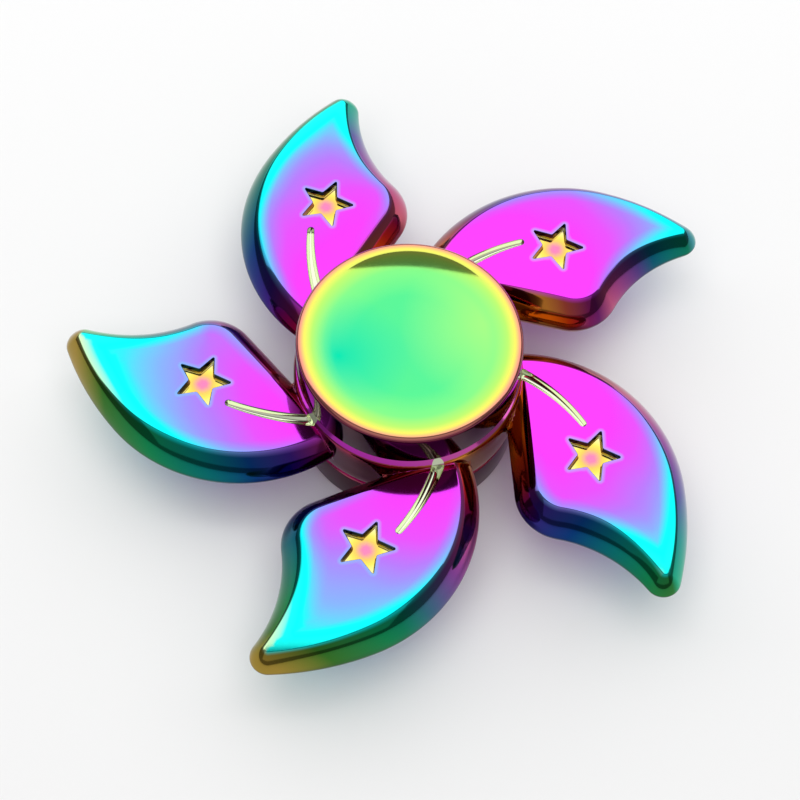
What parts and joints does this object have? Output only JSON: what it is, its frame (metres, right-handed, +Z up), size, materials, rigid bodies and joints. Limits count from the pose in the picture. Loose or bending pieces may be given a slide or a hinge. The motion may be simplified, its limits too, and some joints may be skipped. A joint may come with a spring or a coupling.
{
  "type": "fidget spinner",
  "caption": "Metal fidget spinner with swirled star-marked petals that turn on a shielded ball bearing between two dished finger caps.",
  "frame": {"origin": "centre of the lower cap's resting rim, on the spin axis", "axes": "+Z up along the spin axis; -Y points out through the star of the first petal"},
  "size_m": [0.0597, 0.0605, 0.0146],
  "materials": {
    "petal_plating": "mirror-polished zinc with a rainbow vacuum coating, magenta to violet to cyan",
    "cap_plating": "mirror-polished metal with a rainbow vacuum coating, green with a yellow and pink rim",
    "bearing_steel": "ground bearing steel",
    "ball_steel": "polished chrome steel",
    "cage_steel": "pressed steel strip",
    "shield_steel": "pressed steel sheet with fine turned rings",
    "spring_steel": "drawn spring wire"
  },
  "bodies": {
    "caps": {"upper_cap": "cap_plating", "lower_cap": "cap_plating", "bearing_inner_ring": "bearing_steel"},
    "spinner": {"petal_body": "petal_plating", "bearing_outer_ring": "bearing_steel", "shield_upper": "shield_steel", "shield_lower": "shield_steel", "snap_ring_upper": "spring_steel", "snap_ring_lower": "spring_steel"},
    "cage": {"cage_upper": "cage_steel", "cage_lower": "cage_steel", "cage_rivets": "cage_steel"},
    "rolling_ball_1": {"ball_1": "ball_steel"},
    "rolling_ball_2": {"ball_2": "ball_steel"},
    "rolling_ball_3": {"ball_3": "ball_steel"},
    "rolling_ball_4": {"ball_4": "ball_steel"},
    "rolling_ball_5": {"ball_5": "ball_steel"},
    "rolling_ball_6": {"ball_6": "ball_steel"}
  },
  "joints": [
    {"name": "spin", "type": "hinge", "parent": "caps", "child": "spinner", "pos_m": [0, 0, 0.0073], "axis": [0, 0, 1], "continuous": true},
    {"name": "cage_orbit", "type": "hinge", "parent": "caps", "child": "cage", "pos_m": [0, 0, 0.0073], "axis": [0, 0, 1], "continuous": true},
    {"name": "ball_1_roll", "type": "hinge", "parent": "cage", "child": "rolling_ball_1", "pos_m": [0.00575, 0, 0.0073], "axis": [0, 0, 1], "continuous": true},
    {"name": "ball_2_roll", "type": "hinge", "parent": "cage", "child": "rolling_ball_2", "pos_m": [0.00287, 0.00498, 0.0073], "axis": [0, 0, 1], "continuous": true},
    {"name": "ball_3_roll", "type": "hinge", "parent": "cage", "child": "rolling_ball_3", "pos_m": [-0.00287, 0.00498, 0.0073], "axis": [0, 0, 1], "continuous": true},
    {"name": "ball_4_roll", "type": "hinge", "parent": "cage", "child": "rolling_ball_4", "pos_m": [-0.00575, 0, 0.0073], "axis": [0, 0, 1], "continuous": true},
    {"name": "ball_5_roll", "type": "hinge", "parent": "cage", "child": "rolling_ball_5", "pos_m": [-0.00287, -0.00498, 0.0073], "axis": [0, 0, 1], "continuous": true},
    {"name": "ball_6_roll", "type": "hinge", "parent": "cage", "child": "rolling_ball_6", "pos_m": [0.00287, -0.00498, 0.0073], "axis": [0, 0, 1], "continuous": true}
  ],
  "couplings": [
    {"joint": "cage_orbit", "follows": "spin", "ratio": 0.6553},
    {"joint": "ball_1_roll", "follows": "spin", "ratio": 1.4544},
    {"joint": "ball_2_roll", "follows": "spin", "ratio": 1.4544},
    {"joint": "ball_3_roll", "follows": "spin", "ratio": 1.4544},
    {"joint": "ball_4_roll", "follows": "spin", "ratio": 1.4544},
    {"joint": "ball_5_roll", "follows": "spin", "ratio": 1.4544},
    {"joint": "ball_6_roll", "follows": "spin", "ratio": 1.4544}
  ]
}
